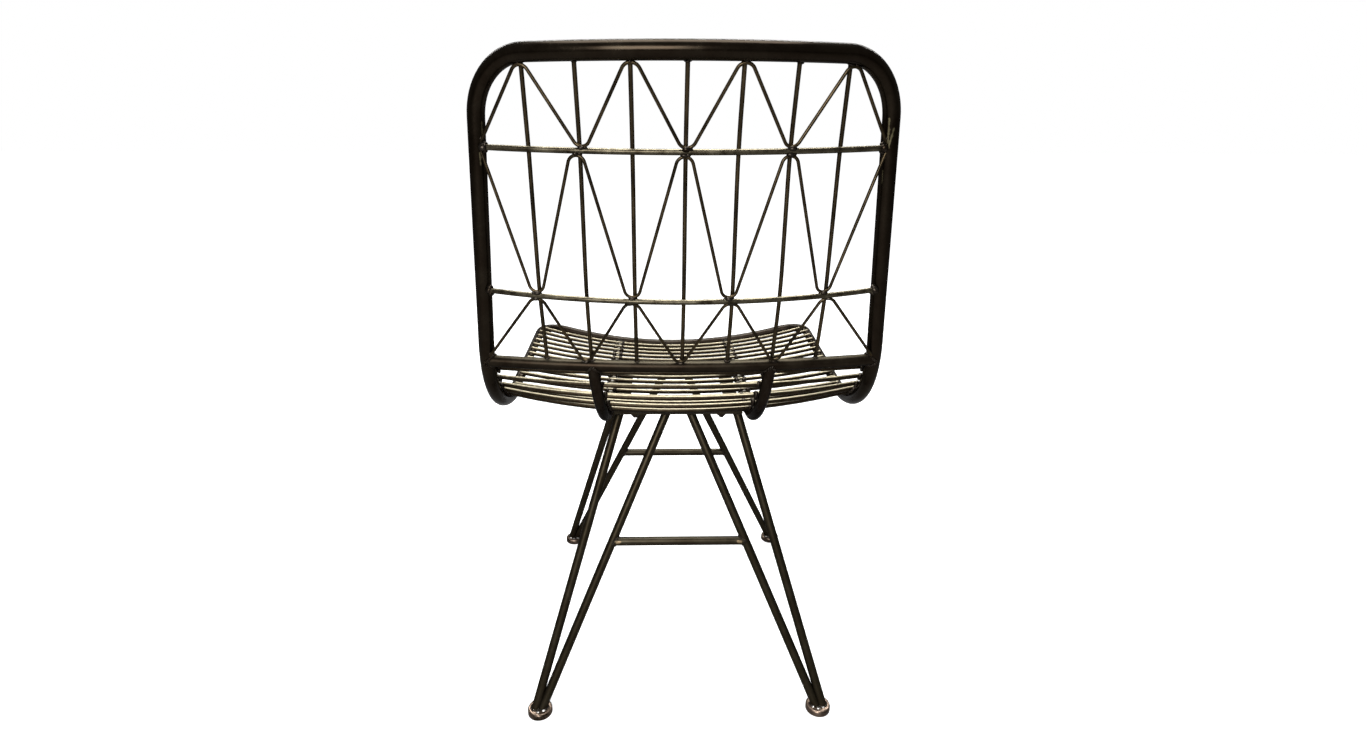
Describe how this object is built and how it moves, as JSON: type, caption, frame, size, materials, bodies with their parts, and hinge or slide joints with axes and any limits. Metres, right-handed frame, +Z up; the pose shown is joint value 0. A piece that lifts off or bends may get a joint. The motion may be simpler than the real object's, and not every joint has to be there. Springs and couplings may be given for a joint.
{
  "type": "wire mesh chair",
  "caption": "Armless side chair in aged bronze metal: bowed tube back filled with zigzag wire mesh, dished rod seat, splayed paired tube legs with cross bars and round feet.",
  "frame": {"origin": "on the floor under the middle of the whole chair", "axes": "+Z up, -Y towards the front of the seat, +Y towards the back, +X to the sitter's left"},
  "size_m": [0.4822, 0.5206, 0.8256],
  "materials": {
    "gunmetal_tube": "aged gunmetal, satin",
    "bronze_wire": "rubbed antique bronze, satin",
    "polished_foot": "polished brown bronze",
    "fastener": "blackened"
  },
  "bodies": {
    "root": {"back_hoop": "gunmetal_tube", "cross_bar_front": "gunmetal_tube", "cross_bar_rear": "gunmetal_tube", "foot_front_left": "polished_foot", "foot_front_right": "polished_foot", "foot_rear_left": "polished_foot", "foot_rear_right": "polished_foot", "leg_front_left_inner": "gunmetal_tube", "leg_front_left_outer": "gunmetal_tube", "leg_front_right_inner": "gunmetal_tube", "leg_front_right_outer": "gunmetal_tube", "leg_rear_left_inner": "gunmetal_tube", "leg_rear_left_outer": "gunmetal_tube", "leg_rear_right_inner": "gunmetal_tube", "leg_rear_right_outer": "gunmetal_tube", "lower_back_rod": "bronze_wire", "lower_back_tube": "gunmetal_tube", "mount_bar_front": "gunmetal_tube", "mount_bar_rear": "gunmetal_tube", "mount_bolts": "fastener", "mount_nuts": "fastener", "mount_side_left": "gunmetal_tube", "mount_side_right": "gunmetal_tube", "seat_bar_front": "gunmetal_tube", "seat_bar_rear": "gunmetal_tube", "seat_frame": "gunmetal_tube", "seat_rod_01": "bronze_wire", "seat_rod_02": "bronze_wire", "seat_rod_03": "bronze_wire", "seat_rod_04": "bronze_wire", "seat_rod_05": "bronze_wire", "seat_rod_06": "bronze_wire", "seat_rod_07": "bronze_wire", "seat_rod_08": "bronze_wire", "seat_rod_09": "bronze_wire", "seat_rod_10": "bronze_wire", "seat_rod_11": "bronze_wire", "seat_rod_12": "bronze_wire", "seat_rod_13": "bronze_wire", "seat_rod_14": "bronze_wire", "seat_rod_15": "bronze_wire", "seat_rod_16": "bronze_wire", "seat_rod_17": "bronze_wire", "seat_rod_18": "bronze_wire", "seat_rod_19": "bronze_wire", "seat_rod_20": "bronze_wire", "seat_rod_21": "bronze_wire", "seat_support_left": "gunmetal_tube", "seat_support_right": "gunmetal_tube", "upper_back_rod": "bronze_wire", "upright_1": "bronze_wire", "upright_2": "bronze_wire", "upright_3": "bronze_wire", "upright_4": "bronze_wire", "upright_5": "bronze_wire", "upright_6": "bronze_wire", "upright_7": "bronze_wire", "zigzag_lower": "bronze_wire", "zigzag_middle": "bronze_wire", "zigzag_upper": "bronze_wire"}
  },
  "joints": []
}
